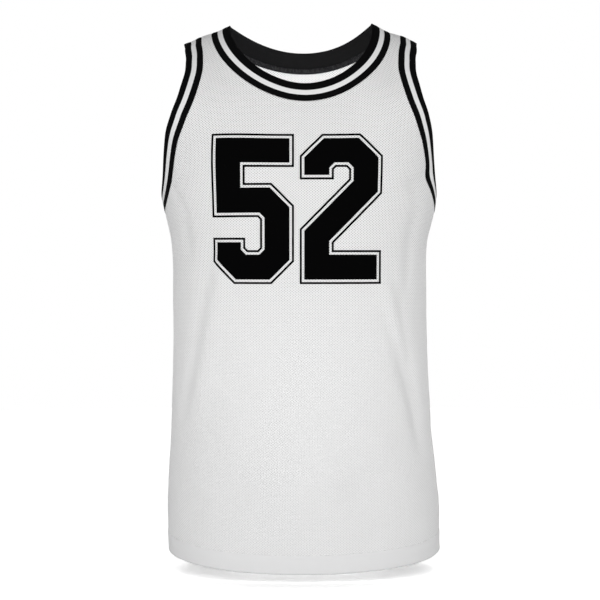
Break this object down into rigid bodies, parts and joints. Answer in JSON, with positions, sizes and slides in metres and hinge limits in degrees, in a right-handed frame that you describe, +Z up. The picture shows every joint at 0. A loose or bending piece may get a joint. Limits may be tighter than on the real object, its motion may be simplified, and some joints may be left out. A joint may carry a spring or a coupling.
{
  "type": "basketball jersey, hollow as worn",
  "caption": "Sleeveless mesh sports jersey, hollow as worn, with striped rib bands at the neck and arms and a turned-up hem.",
  "frame": {"origin": "midway between the two high shoulder points, where the neckband crosses the shoulder ridge", "axes": "+Z up the body, -Y the way the front faces, +X to the right of a viewer who looks at the front"},
  "size_m": [0.3768, 0.2372, 0.7292],
  "materials": {
    "white_mesh": "soft matte open polyester mesh",
    "striped_rib": "matte rib knit in black and white stripes"
  },
  "bodies": {
    "root": {"front": "white_mesh", "back": "white_mesh", "neckband": "striped_rib", "armband_left": "striped_rib", "armband_right": "striped_rib"}
  },
  "joints": []
}
